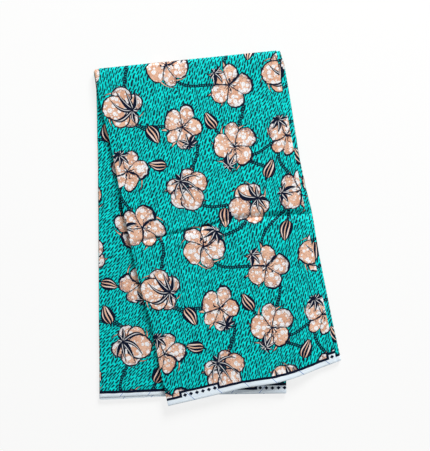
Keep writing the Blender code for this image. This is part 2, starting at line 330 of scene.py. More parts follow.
def side_line(rows, path, column):
    """A side's line along the cloth, with the corners of its table softened."""
    return sum(read(rows, path + shift, column) for shift in (-0.016, -0.008, 0, 0.008, 0.016)) / 5


def crease_line(u):
    """How far from the fold's axis the crease runs."""
    return CREASE_AT + read_across(CREASE_LINE, u, "sway")


def crease_sink(u, run):
    """How far the crease lowers the bundle's upper face, `run` from the fold's axis."""
    away = run - crease_line(u)
    depth, above, below = (read_across(CREASE_LINE, u, column) for column in ("depth", "above", "below"))
    reach = np.where(away > 0, below, above)
    hollow = np.where(away > 0, 1.6, 1.25)
    return depth * (1 - np.minimum(np.abs(away) / reach, 1.0)) ** hollow


def ripples(rows, u, run):
    """Height of the soft troughs and ridges of one half."""
    total = np.zeros_like(u)
    for across, from_fold, length, width, height, turn in rows:
        cos, sin = math.cos(math.radians(turn)), math.sin(math.radians(turn))
        right = u / MM - across
        down = run / MM - from_fold
        along = (right * cos + down * sin) / (length / 2)
        aside = (down * cos - right * sin) / width
        total += height * MM * np.maximum(1 - along * along, 0.0) ** 2 * np.exp(-aside * aside)
    return total


def selvedge_lift(u, run, cloth):
    """How far the front half's selvedge lifts off where it crosses the back half."""
    from_edge = (front_length(u) - run) / LIFT_REACH
    along = np.clip((u - LIFT_AT) / LIFT_HALF, -1, 1)
    return cloth.edge_lift * np.clip(1 - from_edge, 0, 1) ** 2 * (1 - along * along) ** 2


def droop(along, past):
    """How far the front half sags where it stands out past the back half."""
    x = along * COS + (past - BEND) * SIN
    return HALF_STACK * soft_step((x - BUNDLE_WIDTH - DROOP_START) / DROOP_LENGTH)


def lay(u, v, w, cloth):
    """Places in the bundle of points of the unfolded stack."""
    along = u * COS + (v - BACK_LEFT) * SIN
    past = past_fold(u, v)
    turn = math.pi * (np.clip(past / BEND, 0, 1) - 0.5)
    out = np.minimum(past, 0) + w * np.cos(turn) - np.maximum(past - BEND, 0)
    run = (past - BEND) / COS
    in_front = soft_step(past / BEND)
    height = w / HALF_STACK
    soft = ripples(FRONT_RIPPLES, u, run) * cloth.ripple
    puff = cloth.puff * np.exp(-(((run - PUFF_AT) / PUFF_LENGTH) ** 2))
    front = height * (soft + puff - crease_sink(u, run)) + selvedge_lift(u, run, cloth)
    front -= droop(along, past)
    back = (1 - height) * ripples(BACK_RIPPLES, u, -past) * cloth.ripple
    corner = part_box("back_ply")[0]
    x = along * COS - out * SIN + (corner.x + BACK_PLY_REACH[0])
    y = along * SIN + out * COS + (corner.y + BACK_LEFT + BACK_PLY_REACH[1])
    z = HALF_STACK + w * np.sin(turn) + in_front * front + (1 - in_front) * back
    return np.stack((x, y, z), axis=-1)


def cloth_along(u, v, w):
    """How far along its own cloth a point lies. Plies farther out are longer round the fold."""
    start = back_start(u)
    longer = math.pi * w - BEND
    along = v - start + longer * np.clip(past_fold(u, v) / BEND, 0, 1)
    return along * CLOTH_WIDTH / (front_end(u) - start + longer)


def station_run(station, u):
    """Distance from the fold's axis of a station of the front half, along the cloth."""
    share = np.clip(station - 1, 0, 2)
    line = crease_line(u)
    return np.minimum(share, 1) * line + np.maximum(share - 1, 0) * (front_length(u) - line)


def station_v(station, u):
    """v at a station: -1 at the back selvedge, 0 to 1 round the fold, 2 at the crease, 3 at the
    front selvedge."""
    share = 1 + np.minimum(station, 0)
    back = back_start(u) * (1 - share) + fold_start(u) * share
    return back + np.clip(station, 0, 1) * BEND / COS + station_run(station, u)


def station_path(station, u):
    return np.minimum(station, 0) + station_run(station, u) / front_length(u)


def spread(length, reach, coarse):
    """Places from 0 to 1 along a length from the crease, closer together up to `reach`."""
    near = np.linspace(0, reach, round(reach / CREASE_GRID), endpoint=False)
    far = np.linspace(reach, length, round((length - reach) / coarse) + 1)
    return np.concatenate((near, far)) / length


def stations(back_step, front_step):
    """Stations of the whole ply, from the back selvedge to the front one."""
    back = np.linspace(-1, 0, round(BACK_LEFT / back_step), endpoint=False)
    bend = np.linspace(0, 1, BEND_ROWS, endpoint=False)
    upper = 2 - spread(CREASE_AT, CREASE_ABOVE, front_step)[::-1]
    lower = 2 + spread(front_length(0) - CREASE_AT, CREASE_BELOW, front_step)[1:]
    return np.concatenate((back, bend, upper, lower))


def even_columns(spacing):
    return np.linspace(0, 1, round(BUNDLE_WIDTH / spacing) + 1)


def edge_columns(fine, reach, coarse):
    """Columns that lie close together near both sides."""
    share = reach / BUNDLE_WIDTH
    near = np.linspace(0, share, round(reach / fine), endpoint=False)
    middle = np.linspace(share, 1 - share, round((BUNDLE_WIDTH - 2 * reach) / coarse) + 1)
    return np.concatenate((near, middle, (1 - near)[::-1]))


# One level of a layered piece, from its inner face out: its share of the thickness, how round the
# sides and the ends are there, its ply, and how far that stands out at each side and selvedge, in mm.
Level = namedtuple("Level", "share side end layer left right back front")


def plain_levels(back=0.0, front=0.0):
    return [
        Level(share, roundness, roundness * 0.6, 0, 0.0, 0.0, back, front)
        for share, roundness in ((0.0, 0.0), (0.2, 0.8), (0.5, 1.0), (0.8, 0.8), (1.0, 0.0))
    ]


def hidden_levels():
    """Levels of the hidden plies: each has a round end, and each pair a round side."""
    levels = []
    count = len(HIDDEN_LIPS)
    for layer, lip in enumerate(HIDDEN_LIPS):
        for place in (0.0, 0.16, 0.5, 0.84):
            in_pair = (layer % 2 + place) / 2
            side = 2 * math.sin(math.pi * in_pair) ** 0.6
            end = math.sin(math.pi * place) ** 0.6 * 1.4
            levels.append(Level((layer + place) / count, side, end, layer, *lip))
    levels.append(Level(1.0, 0.0, 0.0, count - 1, *HIDDEN_LIPS[-1]))
    return levels


def wall_heights(depth, thickness):
    """Inner and outer height of a ply with `depth` walls outside it."""
    outer = HALF_STACK - depth * (WALL + WALL_GAP)
    return outer - thickness, outer


def hidden_heights(rows):
    """The same for the hidden plies, which leave room for the back ply on the back half."""
    front_inner = WALL_GAP / 2
    back_inner = front_inner + WALL + WALL_GAP
    inner = back_inner + (front_inner - back_inner) * np.clip(rows, 0, 1)
    return inner[None, :, None], HALF_STACK - 3 * (WALL + WALL_GAP)


class Lattice:
    """A closed piece of cloth: columns across, rows along and levels through its thickness."""

    def __init__(self, columns, rows, levels, sides, heights, cloth, wander=0.0):
        self.levels = levels
        self.shape = (len(columns), len(rows), len(levels))
        row = rows[None, :, None]
        low, high = heights
        thick = (high - low) / (1 + levels[-1].layer)
        side = self.column("side") * thick / 2
        end = self.column("end") * thick / 2
        drift = self.drift(rows, wander)
        left_path = station_path(row, 0.0)
        right_path = station_path(row, BUNDLE_WIDTH)
        out = side_line(LEFT_SIDE, left_path, "out") + side_line(sides, left_path, "out")
        out = out + self.column("left") + drift
        cut = side_line(sides, right_path, "cut") - self.column("right") + drift[:, ::-1]
        left = -out * MM - side
        right = BUNDLE_WIDTH - cut * MM + side
        u = left + columns[:, None, None] * (right - left)
        v = station_v(row, u)
        fan = 1 - (1 - BACK_FAN_RIGHT) * np.clip(u / BUNDLE_WIDTH, 0, 1)
        v = v - np.where(row == -1, self.column("back") * MM * fan + end, 0.0)
        v = v + np.where(row == 3, self.column("front") * MM + end, 0.0)
        w = low + (high - low) * self.column("share")
        self.u = u
        self.along = cloth_along(u, v, w)
        self.points = lay(u, v, w, cloth).reshape(-1, 3)

    def column(self, name):
        return np.array([getattr(level, name) for level in self.levels])

    def drift(self, rows, wander):
        """How far each ply's side wanders in and out along the cloth, in mm."""
        draw = np.random.RandomState(11)
        layers = self.levels[-1].layer + 1
        phase = draw.uniform(0, 2 * math.pi, (2, layers))
        pace = draw.uniform(2.2, 4.5, (2, layers))
        row = rows[:, None]
        waves = np.sin(row * pace[0] + phase[0]) + 0.5 * np.sin(row * 3 * pace[1] + phase[1])
        return wander * waves[:, self.column("layer")][None]

    def faces(self):
        """Corner numbers in the lattice of every outer face, and the ply that each belongs to."""
        numbers = np.arange(np.prod(self.shape)).reshape(self.shape)
        layer = self.column("layer")
        quads = []
        layers = []
        for axis in range(3):
            for end in (0, -1):
                plane = np.take(numbers, end, axis=axis)
                corners = [plane[:-1, :-1], plane[1:, :-1], plane[1:, 1:], plane[:-1, 1:]]
                if (end == 0) == (axis == 1):
                    corners.reverse()
                quads.append(np.stack(corners, axis=-1).reshape(-1, 4))
                own = layer[end] if axis == 2 else layer[:-1]
                layers.append(np.broadcast_to(own, corners[0].shape).ravel())
        return np.concatenate(quads), np.concatenate(layers)


def in_repeat(corners):
    """For each face: the corner of its repeat of the print, and its middle in that repeat."""
    middles = corners.mean(axis=1)
    home = np.floor(middles / CHART) * CHART
    return home, middles - home


def turned(points, degrees):
    """Points turned by an angle for each."""
    angle = np.radians(degrees)
    cos, sin = np.cos(angle)[:, None], np.sin(angle)[:, None]
    x, y = points[..., 0], points[..., 1]
    return np.stack((x * cos - y * sin, x * sin + y * cos), axis=-1)


def motif_map(corners):
    """For each face: its corners in its nearest motif, in radii, that motif's kind and its seed."""
    home, inside = in_repeat(corners)
    across, along, kind, radius, turn = np.array(MOTIFS, float).T
    seed = np.random.RandomState(5).uniform(0, 1, len(MOTIFS))
    centres = (np.stack((across, along), axis=-1)[:, None, :] + SHIFTS).reshape(-1, 2)
    numbers = np.repeat(np.arange(len(MOTIFS)), len(SHIFTS))
    away = np.linalg.norm(inside[:, None, :] - centres, axis=2) - radius[numbers]
    best = away.argmin(axis=1)
    chosen = numbers[best]
    size = radius[chosen]
    kind = kind[chosen]
    local = corners - (home + centres[best])[:, None, :]
    local = turned(local, -turn[chosen]) / size[:, None, None]
    outside = away.min(axis=1) > 0.4 * size + 4
    local[outside] = FAR
    kind[outside] = 0
    return local, kind, seed[chosen]


def stem_lines():
    """The stems of a repeat and its neighbours in straight pieces: starts, ends, how far along the
    stem each starts, and the stem's number."""
    share = np.linspace(0, 1, STEM_PIECES + 1)[:, None]
    stems = []
    for *ends, bulge in STEMS:
        begin, finish = np.array(ends, float).reshape(2, 2)
        chord = finish - begin
        aside = np.array((-chord[1], chord[0])) / np.linalg.norm(chord)
        arch = 4 * share * (1 - share) * bulge
        sway = np.sin(share * 2 * math.pi) * bulge * 0.35
        line = begin + share * chord + (arch + sway) * aside
        length = np.concatenate(((0,), np.cumsum(np.linalg.norm(np.diff(line, axis=0), axis=1))))
        for shift in SHIFTS:
            moved = line + shift
            stems.append((moved[:-1], moved[1:], length[:-1], np.full(STEM_PIECES, len(stems))))
    return tuple(np.concatenate(part) for part in zip(*stems))


def along_lines(points, starts, ends, runs):
    """For points and lines, by broadcasting: the distance, how far along and how far aside."""
    piece = ends - starts
    length = np.linalg.norm(piece, axis=-1)
    direction = piece / length[..., None]
    offset = points - starts
    forward = (offset * direction).sum(axis=-1)
    aside = offset[..., 1] * direction[..., 0] - offset[..., 0] * direction[..., 1]
    beyond = forward - np.clip(forward, 0, length)
    return np.hypot(beyond, aside), runs + forward, aside


def stem_map(corners):
    """For each face: its corners along and across the nearest stem, in mm."""
    home, inside = in_repeat(corners)
    starts, ends, runs, owners = stem_lines()
    low, high = np.minimum(starts, ends), np.maximum(starts, ends)
    near = ((low < CHART + STEM_REACH) & (high > -STEM_REACH)).all(axis=1)
    owner = np.full(len(inside), -1)
    for begin in range(0, len(inside), FACES_AT_ONCE):
        some = slice(begin, begin + FACES_AT_ONCE)
        gaps, _, _ = along_lines(inside[some, None, :], starts[near], ends[near], runs[near])
        nearest = owners[near][gaps.argmin(axis=1)]
        owner[some] = np.where(gaps.min(axis=1) < STEM_REACH, nearest, -1)
    local = np.full(corners.shape, (0.0, FAR_ASIDE))
    for number in np.unique(owner[owner >= 0]):
        faces = np.flatnonzero(owner == number)
        mine = owners == number
        points = (corners[faces] - home[faces][:, None, :])[:, :, None, :]
        gaps, *places = along_lines(points, starts[mine], ends[mine], runs[mine])
        best = gaps.argmin(axis=2)[..., None]
        for axis, place in enumerate(places):
            local[faces, :, axis] = np.take_along_axis(place, best, axis=2)[..., 0]
    return local


def add_object(name, data):
    made = bpy.data.objects.new(name, data)
    bpy.context.scene.collection.objects.link(made)
    return made


# Where a ply's print starts in the repeat, in mm, whether it is seen from the back, and how far it
# moves on from one hidden ply to the next.
Phase = namedtuple("Phase", "across along mirrored step", defaults=(False, 0))


def make_mesh(name, lattice, phase):
    """The mesh of a piece, with the maps that its print is drawn from."""
    quads, layers = lattice.faces()
    used, compact = np.unique(quads, return_inverse=True)
    mesh = bpy.data.meshes.new(name)
    mesh.from_pydata(lattice.points[used].tolist(), [], compact.reshape(quads.shape).tolist())
    across = -lattice.u if phase.mirrored else lattice.u
    cloth = np.stack((across.ravel(), lattice.along.ravel()), axis=-1)[quads] / MM
    cloth[..., 0] += phase.across + phase.step * layers[:, None]
    charted = cloth + np.array((0.0, phase.along))
    charted[..., 1] += phase.step * 0.7 * layers[:, None]
    motif, kind, seed = motif_map(charted)
    for label, places in zip(MAPS, (cloth * MM, motif, stem_map(charted))):
        layer = mesh.uv_layers.new(name=label)
        layer.data.foreach_set("uv", places.astype(np.float32).ravel())
    for label, values in (("motif_kind", kind), ("motif_seed", seed)):
        attribute = mesh.attributes.new(label, "FLOAT", "FACE")
        attribute.data.foreach_set("value", values.astype(np.float32))
    mesh.shade_smooth()
    mesh.set_sharp_from_angle(angle=math.radians(60))
    return mesh


def make_ply(name, material, nodes, lattice, phase):
    """Makes a piece, attaches it to the root body and hides the frame's solids that it replaces."""
    mesh = make_mesh(name, lattice, phase)
    mesh.materials.append(material)
    piece = add_object(name, mesh)
    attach(piece, "root")
    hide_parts(*nodes)


# Values in a node tree.


class Value:
    """A number, vector or colour in a node tree. Arithmetic on it adds Math nodes."""

    def __init__(self, socket):
        self.socket = socket


def feed(node, inputs):
    """Gives a node its inputs by name or number: a Value is linked, and a plain value is set."""
    for name, value in inputs.items():
        socket = node.inputs[name]
        if isinstance(value, Value):
            node.id_data.links.new(value.socket, socket)
        else:
            socket.default_value = value


def add_node(kind, inputs, **settings):
    """A shader node in the tree of its inputs. Returns its outputs."""
    linked = next(value for value in inputs.values() if isinstance(value, Value))
    node = linked.socket.id_data.nodes.new("ShaderNode" + kind)
    for name, setting in settings.items():
        setattr(node, name, setting)
    feed(node, inputs)
    return [Value(output) for output in node.outputs]


def calculate(operation, *values):
    return add_node("Math", dict(enumerate(values)), operation=operation)[0]


def arithmetic(operation):
    return lambda *values: calculate(operation, *values)


OPERATIONS = {
    "add": "ADD", "radd": "ADD", "sub": "SUBTRACT", "mul": "MULTIPLY", "truediv": "DIVIDE",
    "mod": "FLOORED_MODULO", "pow": "POWER", "gt": "GREATER_THAN", "lt": "LESS_THAN",
    "abs": "ABSOLUTE", "round": "ROUND", "floor": "FLOOR",
}
for word, operation in OPERATIONS.items():
    setattr(Value, f"__{word}__", arithmetic(operation))
Value.__rsub__ = lambda own, other: calculate("SUBTRACT", other, own)

lower = partial(calculate, "MINIMUM")
higher = partial(calculate, "MAXIMUM")
sine = partial(calculate, "SINE")
cosine = partial(calculate, "COSINE")
root = partial(calculate, "SQRT")
bearing = partial(calculate, "ARCTAN2")


def distance(x, y):
    return root(x * x + y * y)


def fade(value, start, end):
    """A soft step from 0 where the value is `start` to 1 where it is `end`."""
    inputs = {"Value": value, "From Min": start, "From Max": end}
    return add_node("MapRange", inputs, interpolation_type="SMOOTHSTEP")[0]


def pick(mask, no, yes):
    """One number where the mask is 0 and another where it is 1."""
    return add_node("Mix", {0: mask, 2: no, 3: yes})[0]


def paint(mask, under, over):
    """A colour painted over another where the mask is 1."""
    return add_node("Mix", {0: mask, 6: under, 7: over}, data_type="RGBA")[2]


def split(vector):
    return add_node("SeparateXYZ", {0: vector})[:2]


def pair(x, y):
    return add_node("CombineXYZ", {0: x, 1: y})[0]


def noise(x, y, size, detail=0.0):
    """Soft noise from about 0.2 to 0.8 with features of a size, and its colour for more numbers."""
    inputs = {"Vector": pair(x, y), "Scale": 1.0 / size, "Detail": detail}
    return add_node("TexNoise", inputs, noise_dimensions="2D")


def cells(x, y, size):
    """Scattered points: how far the nearest is, in sizes, and its own number."""
    inputs = {"Vector": pair(x, y), "Scale": 1.0 / size}
    gap, colour, *_ = add_node("TexVoronoi", inputs, voronoi_dimensions="2D")
    return gap, split(colour)[0]


def chance(number):
    """A random number from 0 to 1 for each whole number."""
    return add_node("TexWhiteNoise", {"W": number}, noise_dimensions="1D")[0]


# The kinds of a group's sockets by their names. The others are numbers.
SOCKETS = {
    **dict.fromkeys((*INKS, "colour"), "NodeSocketColor"),
    **dict.fromkeys(MAPS, "NodeSocketVector"),
}


def add_sockets(group, labels, in_out):
    for label in labels:
        kind = SOCKETS.get(label, "NodeSocketFloat")
        group.interface.new_socket(label, in_out=in_out, socket_type=kind)


def make_group(name, draw, labels):
    """The node group of a part of the print: draw() gets its inputs and returns its outputs by name."""
    group = bpy.data.node_groups.new(name, "ShaderNodeTree")
    add_sockets(group, labels, "INPUT")
    entry = group.nodes.new("NodeGroupInput")
    made = draw(**{label: Value(entry.outputs[label]) for label in labels})
    add_sockets(group, made, "OUTPUT")
    feed(group.nodes.new("NodeGroupOutput"), made)
    return group


def use_group(draw, **values):
    """Places a draw function's node group, made at its first use. Returns its outputs by name."""
    name = draw.__name__.replace("draw", "wax")
    group = bpy.data.node_groups.get(name) or make_group(name, draw, values)
    return {made.socket.name: made for made in add_node("Group", values, node_tree=group)}


# The parts of the print.


def draw_strokes(across, along, lean, length, width):
    """Interlocked rows of short round-ended strokes that lean and sway."""
    sideways, lengthways = split(noise(across, along, 80.0)[1])
    to_side, to_front = split(noise(across, along, 13.0)[1])
    x = across + (sideways - 0.5) * 12 + (to_side - 0.5) * 3
    y = along + (lengthways - 0.5) * 12 + (to_front - 0.5) * 3
    forward = x * cosine(lean) + y * sine(lean)
    aside = y * cosine(lean) - x * sine(lean)
    pitch = width * 1.77
    pace = length * 1.08
    row = math.floor(aside / pitch)
    place = forward / pace + row * 0.5 + chance(row) * 0.16
    number = math.floor(place)
    own = chance(number * 7.13 + row * 3.71)
    other = chance(number * 3.37 + row * 11.9 + 50)
    ahead = (place - number - 0.5 + (own - 0.5) * 0.14) * pace
    bow = ahead * ((own - 0.5) * 0.2 + ahead * (to_side - 0.5) * 0.14)
    beside = aside - (row + 0.5) * pitch + (other - 0.5) * 0.3 + bow
    past = higher(abs(ahead) - length * (0.29 + own * 0.12), 0.0)
    along_it = ahead / (length * 0.5)
    taper = 1.12 - along_it * along_it * 0.45
    spare = width * (0.4 + other * 0.16) * taper - distance(past, beside)
    return {"stroke": fade(spare, -0.2, 0.24)}


def draw_lobes(radius, angle, seed):
    """Round petals side by side round an open flower, of uneven widths and with curved seams."""
    petals = 5.0
    uneven = sine(angle * 2 + seed * 23) * 0.2 + sine(angle * 3 + seed * 51) * 0.1
    share = (angle + uneven + seed * TURN + (radius - 0.5) * (seed - 0.5) * 1.3) * (petals / TURN)
    number = round(share)
    off = (share - number) * 2
    own = chance(number % petals + seed * 31)
    rim = 0.86 + own * 0.16 - abs(off) ** 2.3 * 0.3
    seam = radius * sine((1 - abs(off)) * (math.pi / petals))
    return {"edge": rim - radius, "seam": seam, "off": off, "own": own}


def draw_side_petals(x, y, seed, weight):
    """Round petals that overlap: how deep a point lies in its nearest one, and that one's number."""
    depth = -1.0
    own = 0.0
    for number, (along, across, radius) in enumerate(SIDE_PETALS):
        draw = chance(seed * 31 + number * 7)
        other = chance(seed * 47 + number * 5)
        ahead = (x - along - (draw - 0.5) * 0.2) * (0.92 + other * 0.16)
        this = radius - distance(ahead, y - across - (other - 0.5) * 0.14)
        nearer = this > 0 - weight
        depth = pick(nearer, depth, this)
        own = pick(nearer, own, draw)
    return {"depth": depth, "own": own}


def draw_sepals(x, y, seed, joint, reach):
    """Dark curved sepals that spread over a flower from its joint, each with a pale vein."""
    ahead = x + joint
    radius = distance(ahead, y)
    angle = bearing(y, ahead)
    sepals = 9.0
    bend = (seed - 0.5) * 0.8 + (radius - 0.3) * sine(angle * 1.5 + seed * 20) * 0.8
    lane = (angle + bend) * (sepals / TURN)
    number = round(lane)
    own = chance(number % sepals + seed * 17)
    facing = cosine(number * (TURN / sepals) - bend)
    length = reach * (0.5 + own * 0.25 + facing * 0.38)
    share = lower(radius / length, 1.0)
    across = radius * sine((lane - number) * (TURN / sepals))
    width = root(share) * (1 - share) * (0.15 + own * 0.13) + 0.004
    band = width - abs(across) - (radius > length)
    vein = abs(across - width * (own - 0.4) * 1.2)
    core = fade(vein, 0.02, 0.006) * fade(share, 0.06, 0.2) * fade(share, 0.9, 0.6)
    return {"spare": higher(band, 0.07 - radius), "core": core}


def draw_tendrils(radius, angle, seed):
    """Thin hooks that stand out past a flower's rim."""
    hooks = 7.0
    lane = (angle + (radius - 0.8) * (seed - 0.5) * 6 + seed * TURN) * (hooks / TURN)
    number = round(lane)
    own = chance(number % hooks + seed * 43)
    past = (radius - 0.72) / (0.26 + own * 0.24)
    width = (1 - past) * 0.1
    across = abs(radius * sine((lane - number) * (TURN / hooks) + (own - 0.5) * 0.3))
    return {"spare": width - across - (past > 1) - (past < 0) - (own < 0.3)}


def draw_fill(across, along, shade, petal, petal_deep, bubble, speckle):
    """A petal's dye: peach with the white bubbles that wax leaves, and speckles where it is shaded."""
    broad, broad_size = cells(across, along, 10.0)
    small, small_size = cells(across + 40, along, 6.0)
    spread_out, more = noise(across, along, 17.0, 1.0)
    grain, fine = noise(across, along, 1.7)
    room = fade(spread_out, 0.36, 0.56)
    wax = fade(broad - 0.2 - broad_size * 0.24, 0.035, -0.03) * fade(room + broad_size, 0.3, 0.6)
    wax = higher(wax, fade(small - small_size * 0.28, 0.05, -0.04) * (small_size > 0.5))
    wax = higher(wax, fade(shade, 0.5, 0.9) * fade(split(more)[0], 0.5, 0.6))
    colour = paint(fade(split(more)[1], 0.38, 0.62), petal, petal_deep)
    colour = paint(fade(grain + shade * 0.32, 0.68, 0.8) * 0.85, colour, speckle)
    pale = paint(fade(split(fine)[1] + shade * 0.14, 0.58, 0.7) * 0.45, bubble, speckle)
    return {"colour": paint(wax, colour, pale)}


def compose_flower(shape, line, shade, joint, reach, x, y, across, along, seed, ink, **dyes):
    """A flower's colour and mask: its dyed petals, the hooks behind them and the sepals over them."""
    dye = use_group(draw_fill, across=across, along=along, shade=shade, **dyes)["colour"]
    hooks = use_group(draw_tendrils, radius=distance(x, y), angle=bearing(y, x), seed=seed)["spare"]
    behind = paint(fade(hooks, 0.034, 0.046), ink, dyes["petal"])
    colour = paint(shape, behind, paint(line, dye, ink))
    sepals = use_group(draw_sepals, x=x, y=y, seed=seed, joint=joint, reach=reach)
    over = fade(sepals["spare"], -0.006, 0.012)
    colour = paint(over, colour, paint(sepals["core"] * 0.85, ink, dyes["bubble"]))
    return {"colour": colour, "mask": higher(higher(shape, fade(hooks, -0.01, 0.01)), over)}


def draw_open_flower(**place):
    """A round flower seen from above, with its sepals over one side and hooks round its rim."""
    x, y, seed = place["x"], place["y"], place["seed"]
    uneven = noise(place["across"], place["along"], 8.0, 1.0)[0] - 0.5
    radius = distance(x, y)
    angle = bearing(y, x)
    lobes = use_group(draw_lobes, radius=radius + uneven * 0.08, angle=angle, seed=seed)
    edge = lobes["edge"]
    heavy = sine(angle + seed * 40) * 0.5 + 0.5
    weight = 0.02 + heavy * 0.026 + uneven * 0.045
    seam = fade(lobes["seam"], 0.036 + uneven * 0.04, 0.012 + uneven * 0.04)
    spikes = abs(cosine(angle * 4.5 + uneven * 5)) ** 8.0
    star = fade(radius - 0.04 - spikes * (0.2 + heavy * 0.2), 0.03, 0.0)
    line = higher(higher(fade(edge, weight + 0.016, weight - 0.01), seam), star)
    shade = fade(edge, 0.3, 0.04) * fade(lobes["own"], 0.15, 0.45)
    shade = higher(shade, fade(lobes["off"], 0.3, 0.9) * 0.7)
    shape = fade(edge, 0 - weight - 0.016, 0 - weight + 0.01)
    return compose_flower(shape, line, shade, 0.84, 0.6, **place)


def draw_side_flower(**place):
    """A flower seen from the side: round petals under a dark calyx with long curved fingers."""
    uneven = noise(place["across"], place["along"], 8.0, 1.0)[0] - 0.5
    weight = 0.028 + uneven * 0.05
    x = place["x"] + uneven * 0.06
    y = place["y"] - uneven * 0.06
    petals = use_group(draw_side_petals, x=x, y=y, seed=place["seed"], weight=weight)
    depth = petals["depth"]
    shape = fade(depth, 0 - weight - 0.012, 0 - weight + 0.01)
    line = fade(abs(depth), weight + 0.016, weight - 0.01)
    shade = fade(depth, 0.24, 0.04) * fade(petals["own"], 0.2, 0.45)
    return compose_flower(shape, line, shade, 0.46, 1.15, **place)


def draw_bud(x, y, seed, ink, petal, bubble):
    """A closed bud: pale petals between dark sepals that run together at both ends."""
    half = root(higher(1 - x * x, 0.0)) * (0.7 - x * 0.24) + fade(x, 0.7, 1.0) * 0.05
    spare = half - abs(y) - higher(abs(x) - 1.02, 0.0) * 4
    lane = y / higher(half, 0.05) * 1.9 + sine(x * 2.0 + seed * 6) * 0.28
    number = round(lane)
    off = abs(lane - number)
    fill = paint(((number % 2) > 0.5) * fade(x, -0.9, 0.3) * 0.5, petal, bubble)
    dark = 0.08 + chance(number + seed * 29) * 0.16 + x * 0.08
    fill = paint(fade(off, dark, dark + 0.08), fill, ink)
    fill = paint(fade(spare, 0.2, 0.13), fill, ink)
    joint = 0.1 - distance((x + 1.1) * 0.4, y)
    return {"colour": fill, "mask": fade(higher(spare, joint), -0.05, 0.03)}


def draw_margin(across, along, ink, margin, thread, tick):
    """The selvedges: an undyed band under a navy line, with boxed rows of lozenges."""
    ahead = CLOTH_WIDTH / MM - along
    edge = lower(along, ahead)
    in_front = ahead < along
    width, line, box_start, box_step = (
        pick(in_front, back, front) for back, front in zip(BACK_MARGIN, FRONT_MARGIN)
    )
    place = (across - box_start + BOX_LEAD) % box_step - BOX_LEAD
    beside = 0 - lower(place, BOX_LENGTH - place)
    above = edge - width - (noise(across, along, 14.0)[0] - 0.5) * 0.8
    over_box = above - BOX_HEIGHT
    band, box, wide_band, wide_box, wide_side, side = (
        fade(past, 0.25, -0.25)
        for past in (above, over_box, above - line, over_box - line, beside - line, beside)
    )
    box = box * side
    pale = higher(band, box)
    threads = noise(across * 0.05, along, 0.9, 1.0)[0]
    marks = abs((across + edge * 0.8) % TICK_PITCH - TICK_PITCH / 2)
    colour = paint(fade(threads, 0.42, 0.66) * 0.4, margin, thread)
    colour = paint(fade(marks, 0.8, 0.3), colour, tick)
    from_middle = abs(place % LOZENGE_PITCH - LOZENGE_PITCH / 2) / LOZENGE_HALF_LENGTH
    lozenge = from_middle + abs(above - LOZENGE_MIDDLE) / LOZENGE_HALF_HEIGHT
    colour = paint(fade(lozenge, 1.08, 0.92) * box, colour, ink)
    colour = paint(pale, ink, colour)
    return {"colour": colour, "mask": higher(wide_band, wide_box * wide_side), "pale": pale}


def draw_weave(across, along):
    """Height of the plain weave and of the soft crumple in the cloth."""
    thread = sine(across * (TURN / THREAD_PITCH)) * sine(along * (TURN / THREAD_PITCH))
    return {"height": thread * 0.03 + noise(across, along, 24.0, 2.0)[0]}


def draw_print(cloth, motif, stem, kind, seed, lean, stroke_length, stroke_width, **inks):
    """The whole print, and where the cloth is undyed."""

    def some(*labels):
        return {label: inks[label] for label in labels}

    across, along = (place * METRE for place in split(cloth))
    spot = {"across": across, "along": along}
    strokes = use_group(draw_strokes, **spot, lean=lean, length=stroke_length, width=stroke_width)
    tone = fade(noise(across, along, 9.0)[0], 0.38, 0.66)
    colour = paint(tone, inks["ground"], inks["ground_deep"])
    colour = paint(strokes["stroke"] * 0.96, colour, inks["ink"])
    forward, aside = split(stem)
    beads = fade(abs(aside), 1.4, 0.6) * fade(sine(forward * (TURN / BEAD_PITCH)), 0.0, 0.7)
    stalk = paint(beads * 0.55, inks["ink"], inks["ground_deep"])
    colour = paint(fade(abs(aside), 2.9, 2.3), colour, stalk)
    x, y = split(motif)
    place = {"x": x, "y": y, "seed": seed}
    flower = {**place, **spot, **some("ink", "petal", "petal_deep", "bubble", "speckle")}
    drawn = {
        OPEN: use_group(draw_open_flower, **flower),
        SIDE: use_group(draw_side_flower, **flower),
        BUD: use_group(draw_bud, **place, **some("ink", "petal", "bubble")),
    }
    for number, made in drawn.items():
        is_kind = abs(kind - number) < 0.5
        colour = paint(made["mask"] * is_kind, colour, made["colour"])
    edge = use_group(draw_margin, **spot, **some("ink", "margin", "thread", "tick"))
    return {"colour": paint(edge["mask"], colour, edge["colour"]), "undyed": edge["pale"]}


def printed_cotton(name, lean=-58):
    """Wax print cotton whose strokes lean by an angle in its own plane."""
    settings = bpy.context.scene.wax_print
    material = bpy.data.materials.new(name)
    material.use_nodes = True
    nodes = material.node_tree.nodes
    maps = {}
    for label in MAPS:
        node = nodes.new("ShaderNodeUVMap")
        node.uv_map = label
        maps[label] = Value(node.outputs[0])
    for label in ("kind", "seed"):
        node = nodes.new("ShaderNodeAttribute")
        node.attribute_name = "motif_" + label
        maps[label] = Value(node.outputs["Fac"])
    made = use_group(
        draw_print,
        **maps,
        lean=math.radians(lean),
        stroke_length=settings.stroke_length / MM,
        stroke_width=settings.stroke_width / MM,
        **{label: (*getattr(settings, label), 1.0) for label in INKS},
    )
    across, along = (place * METRE for place in split(maps["cloth"]))
    height = use_group(draw_weave, across=across, along=along)["height"]
    finish = {
        "Base Color": made["colour"],
        "Roughness": 0.62 + made["undyed"] * 0.16,
        "Sheen Weight": 0.02,
        "Sheen Roughness": 0.4,
        "Specular IOR Level": 0.1,
        "Normal": add_node("Bump", {"Height": height, "Distance": 0.0009, "Strength": 0.6})[0],
    }
    feed(nodes["Principled BSDF"], finish)
    return material


